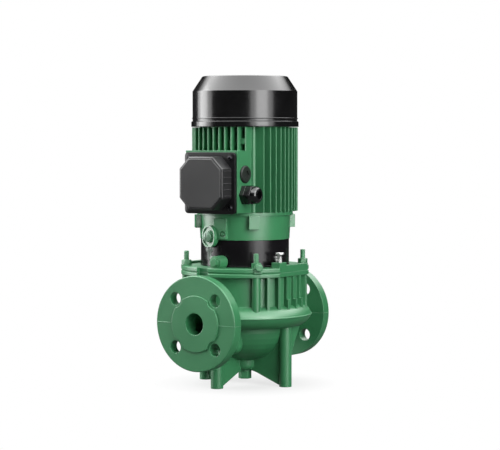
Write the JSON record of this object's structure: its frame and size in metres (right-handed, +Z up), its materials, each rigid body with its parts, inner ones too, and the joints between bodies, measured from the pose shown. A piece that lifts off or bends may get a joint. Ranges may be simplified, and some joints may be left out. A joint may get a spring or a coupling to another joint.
{
  "type": "circulation pump",
  "caption": "Upright in-line circulation pump with opposite pipe flanges, a round volute casing on feet, a guarded coupling and a finned fan-cooled motor with terminal box.",
  "frame": {"origin": "on the shaft axis, at the underside of the four feet", "axes": "+Z up along the shaft; the pipe axis runs along X at z = 0.1 m, with the suction flange and the terminal box on the -X side; the cable gland points to -Y"},
  "size_m": [0.26, 0.2022, 0.4615],
  "materials": {
    "casing_paint": "semi-gloss green enamel on cast iron",
    "motor_paint": "semi-gloss green enamel on cast aluminium",
    "guard_black": "glossy black enamel on sheet steel",
    "cowl_black": "glossy black",
    "box_grey": "fine-grained dark grey",
    "gland_black": "glossy black",
    "screw_black": "blackened steel",
    "zinc_steel": "zinc plated",
    "shaft_steel": "ground",
    "core_iron": "laminated",
    "copper": "varnished copper wire",
    "bronze": "cast and turned",
    "rubber": "matt",
    "carbon": "pressed carbon",
    "ceramic": "lapped ceramic"
  },
  "bodies": {
    "pump": {"volute_casing": "casing_paint", "drain_plug": "casing_paint", "wear_ring": "bronze", "casing_cover": "casing_paint", "cover_o_ring": "rubber", "cover_studs": "casing_paint", "cover_washers": "casing_paint", "cover_nuts": "casing_paint", "jacking_screws": "zinc_steel", "edge_plug": "casing_paint", "vent_plug": "casing_paint", "vent_pipe": "zinc_steel", "seal_seat": "ceramic", "lantern": "casing_paint", "lantern_screws": "zinc_steel", "motor_screws": "zinc_steel", "guard_front": "guard_black", "guard_rear": "guard_black", "guard_screws": "zinc_steel", "motor_frame": "motor_paint", "drive_end_shield": "motor_paint", "rear_end_shield": "motor_paint", "tie_bolts": "zinc_steel", "stator_core": "core_iron", "winding_heads": "copper", "lower_bearing_outer": "shaft_steel", "upper_bearing_outer": "shaft_steel", "fan_cover": "cowl_black", "terminal_base": "box_grey", "terminal_cover": "box_grey", "terminal_cover_screws": "screw_black", "terminal_board": "box_grey", "terminal_studs": "bronze", "gland_body": "gland_black", "gland_seal": "rubber", "gland_nut": "gland_black", "blanking_plug": "gland_black"},
    "rotor": {"impeller": "bronze", "impeller_key": "shaft_steel", "impeller_nut": "shaft_steel", "shaft_sleeve": "shaft_steel", "pump_shaft": "shaft_steel", "coupling_key": "shaft_steel", "coupling_screws": "zinc_steel", "seal_ring": "carbon", "seal_bellows": "rubber", "seal_spring": "shaft_steel", "motor_shaft": "shaft_steel", "rotor_core": "core_iron", "lower_bearing_inner": "shaft_steel", "upper_bearing_inner": "shaft_steel", "fan": "gland_black", "fan_ring": "zinc_steel"},
    "lower_ball_set": {"lower_balls": "shaft_steel"},
    "upper_ball_set": {"upper_balls": "shaft_steel"},
    "bleed": {"bleed_screw": "casing_paint"}
  },
  "joints": [
    {"name": "shaft_spin", "type": "hinge", "parent": "pump", "child": "rotor", "pos_m": [0, 0, 0.3], "axis": [0, 0, 1], "continuous": true},
    {"name": "lower_cage_spin", "type": "hinge", "parent": "pump", "child": "lower_ball_set", "pos_m": [0, 0, 0.267], "axis": [0, 0, 1], "continuous": true},
    {"name": "upper_cage_spin", "type": "hinge", "parent": "pump", "child": "upper_ball_set", "pos_m": [0, 0, 0.387], "axis": [0, 0, 1], "continuous": true},
    {"name": "bleed_turn", "type": "hinge", "parent": "pump", "child": "bleed", "pos_m": [-0.07308, 0.01687, 0.224], "axis": [-0.9744, 0.225, 0], "range_deg": [0, 540]}
  ],
  "couplings": [
    {"joint": "lower_cage_spin", "follows": "shaft_spin", "ratio": 0.3821},
    {"joint": "upper_cage_spin", "follows": "shaft_spin", "ratio": 0.3821}
  ]
}
